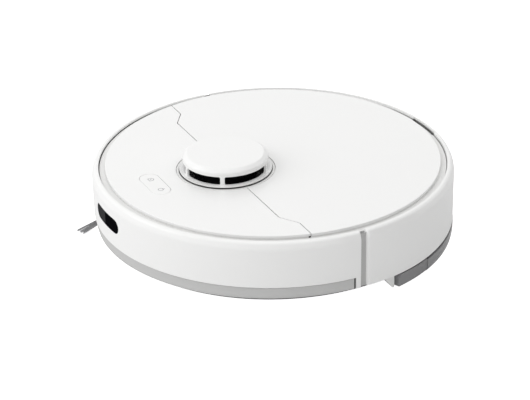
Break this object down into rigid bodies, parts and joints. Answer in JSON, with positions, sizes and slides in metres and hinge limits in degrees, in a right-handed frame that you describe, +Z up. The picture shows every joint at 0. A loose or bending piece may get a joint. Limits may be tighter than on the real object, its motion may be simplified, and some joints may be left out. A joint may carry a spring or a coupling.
{
  "type": "robot vacuum",
  "caption": "Round robot vacuum and mop: bumper front, hinged dust-bin lid, laser turret, sprung drive wheels, brushes and a slide-out rear water tank.",
  "frame": {"origin": "on the floor under the middle of the round body", "axes": "+Z up, -Y is the front (bumper), +Y the rear (tank), +X the machine's left side"},
  "size_m": [0.35, 0.3498, 0.0965],
  "materials": {
    "white_shell": "satin gloss",
    "pale_trim": "satin",
    "grey_strip": "matt",
    "dark_plastic": "fine texture",
    "black_gloss": "polished",
    "steel": "bright",
    "contact_metal": "plated",
    "belt_rubber": "matt",
    "tyre": "matt",
    "inner_plastic": "moulded",
    "circuit_board": "solder mask",
    "smoke_clear": "clear smoked",
    "filter_paper": "pleated paper",
    "bristle": "nylon strands",
    "mop_cloth": "woven pile"
  },
  "bodies": {
    "chassis": {"chassis": "dark_plastic", "rear_shell": "white_shell", "exhaust_grille": "dark_plastic", "front_panel": "white_shell", "lid_hinge_pins": "steel", "rim_ring": "pale_trim", "skirt_strip": "grey_strip", "chassis_screws": "steel", "cliff_windows": "black_gloss", "charging_contacts": "contact_metal", "tank_guides": "pale_trim", "inner_deck": "pale_trim", "lidar_base": "pale_trim", "lidar_motor": "dark_plastic", "lidar_belt": "belt_rubber", "wheel_frame_left": "dark_plastic", "wheel_frame_right": "dark_plastic", "arm_pivot_pins": "steel", "arm_springs": "steel", "side_brush_motor": "dark_plastic", "brush_housing": "dark_plastic", "brush_gearbox": "dark_plastic", "battery_pack": "inner_plastic", "battery_cover": "dark_plastic", "main_board": "circuit_board", "board_posts": "dark_plastic", "dust_bin": "smoke_clear", "bin_cover": "smoke_clear", "bin_filter": "filter_paper", "fan_housing": "dark_plastic", "speaker": "dark_plastic"},
    "bumper": {"bumper": "white_shell", "bumper_window": "black_gloss"},
    "lid": {"lid": "white_shell"},
    "lidar_cover": {"lidar_cover": "white_shell"},
    "lidar_rotor": {"lidar_turntable": "inner_plastic", "lidar_drum": "black_gloss", "lidar_lenses": "black_gloss"},
    "lidar_pulley": {"lidar_pulley": "inner_plastic"},
    "power_key": {"power_key": "white_shell"},
    "arm_left": {"arm_left": "dark_plastic"},
    "arm_right": {"arm_right": "dark_plastic"},
    "wheel_left": {"hub_left": "dark_plastic", "tyre_left": "tyre"},
    "wheel_right": {"hub_right": "dark_plastic", "tyre_right": "tyre"},
    "caster_fork": {"caster_fork": "dark_plastic"},
    "caster_wheel": {"caster_wheel": "tyre"},
    "side_brush": {"side_brush_hub": "inner_plastic", "side_brush_bristles": "bristle"},
    "main_brush": {"main_brush_core": "inner_plastic", "main_brush_fins": "belt_rubber"},
    "brush_guard": {"brush_guard": "dark_plastic"},
    "fan_rotor": {"fan_rotor": "inner_plastic"},
    "tank": {"water_tank": "smoke_clear", "tank_top": "dark_plastic", "mop_plate": "dark_plastic", "mop_pad": "mop_cloth"},
    "tank_clip_left": {"tank_clip_left": "dark_plastic"},
    "tank_clip_right": {"tank_clip_right": "dark_plastic"}
  },
  "joints": [
    {"name": "bumper_press", "type": "slide", "parent": "chassis", "child": "bumper", "axis": [0, 1, 0], "range_m": [0, 0.0026], "stiffness_N_per_m": 400, "springref_m": -0.004},
    {"name": "lid_hinge", "type": "hinge", "parent": "chassis", "child": "lid", "pos_m": [0, -0.044, 0.0776], "axis": [1, 0, 0], "range_deg": [0, 75]},
    {"name": "turret_press", "type": "slide", "parent": "chassis", "child": "lidar_cover", "axis": [0, 0, -1], "range_m": [0, 0.0012], "stiffness_N_per_m": 1500, "springref_m": -0.0015},
    {"name": "lidar_spin", "type": "hinge", "parent": "chassis", "child": "lidar_rotor", "pos_m": [0, -0.05, 0.08], "axis": [0, 0, 1], "continuous": true},
    {"name": "pulley_spin", "type": "hinge", "parent": "chassis", "child": "lidar_pulley", "pos_m": [-0.042, -0.08401, 0.074], "axis": [0, 0, 1], "continuous": true},
    {"name": "key_rock", "type": "hinge", "parent": "chassis", "child": "power_key", "pos_m": [0, -0.1236, 0.0752], "axis": [0, 1, 0], "range_deg": [-1.5, 1.5], "stiffness_Nm_per_rad": 0.5},
    {"name": "arm_left_drop", "type": "hinge", "parent": "chassis", "child": "arm_left", "pos_m": [0.096, -0.046, 0.04], "axis": [1, 0, 0], "range_deg": [-28, 0], "stiffness_Nm_per_rad": 0.1, "springref_deg": -85.94},
    {"name": "arm_right_drop", "type": "hinge", "parent": "chassis", "child": "arm_right", "pos_m": [-0.096, -0.046, 0.04], "axis": [1, 0, 0], "range_deg": [-28, 0], "stiffness_Nm_per_rad": 0.1, "springref_deg": -85.94},
    {"name": "wheel_left_roll", "type": "hinge", "parent": "arm_left", "child": "wheel_left", "pos_m": [0.115, 0, 0.035], "axis": [1, 0, 0], "continuous": true},
    {"name": "wheel_right_roll", "type": "hinge", "parent": "arm_right", "child": "wheel_right", "pos_m": [-0.115, 0, 0.035], "axis": [1, 0, 0], "continuous": true},
    {"name": "caster_swivel", "type": "hinge", "parent": "chassis", "child": "caster_fork", "pos_m": [0, -0.128, 0.03], "axis": [0, 0, 1], "continuous": true},
    {"name": "caster_roll", "type": "hinge", "parent": "caster_fork", "child": "caster_wheel", "pos_m": [0, -0.12, 0.014], "axis": [1, 0, 0], "continuous": true},
    {"name": "side_brush_spin", "type": "hinge", "parent": "chassis", "child": "side_brush", "pos_m": [-0.09899, -0.11797, 0.008], "axis": [0, 0, 1], "continuous": true},
    {"name": "main_brush_spin", "type": "hinge", "parent": "chassis", "child": "main_brush", "pos_m": [0, 0.038, 0.022], "axis": [1, 0, 0], "continuous": true},
    {"name": "guard_release", "type": "slide", "parent": "chassis", "child": "brush_guard", "axis": [0, 0, -1], "range_m": [0, 0.03]},
    {"name": "fan_spin", "type": "hinge", "parent": "chassis", "child": "fan_rotor", "pos_m": [-0.09772, 0.08799, 0.04], "axis": [0, 0, 1], "continuous": true},
    {"name": "tank_slide", "type": "slide", "parent": "chassis", "child": "tank", "axis": [0, 1, 0], "range_m": [0, 0.13]},
    {"name": "clip_left_press", "type": "slide", "parent": "tank", "child": "tank_clip_left", "axis": [-0.9262, -0.377, 0], "range_m": [0, 0.0024], "stiffness_N_per_m": 1500, "springref_m": -0.001},
    {"name": "clip_right_press", "type": "slide", "parent": "tank", "child": "tank_clip_right", "axis": [0.9262, -0.377, 0], "range_m": [0, 0.0024], "stiffness_N_per_m": 1500, "springref_m": -0.001}
  ],
  "couplings": [
    {"joint": "pulley_spin", "follows": "lidar_spin", "ratio": 6.4321}
  ]
}
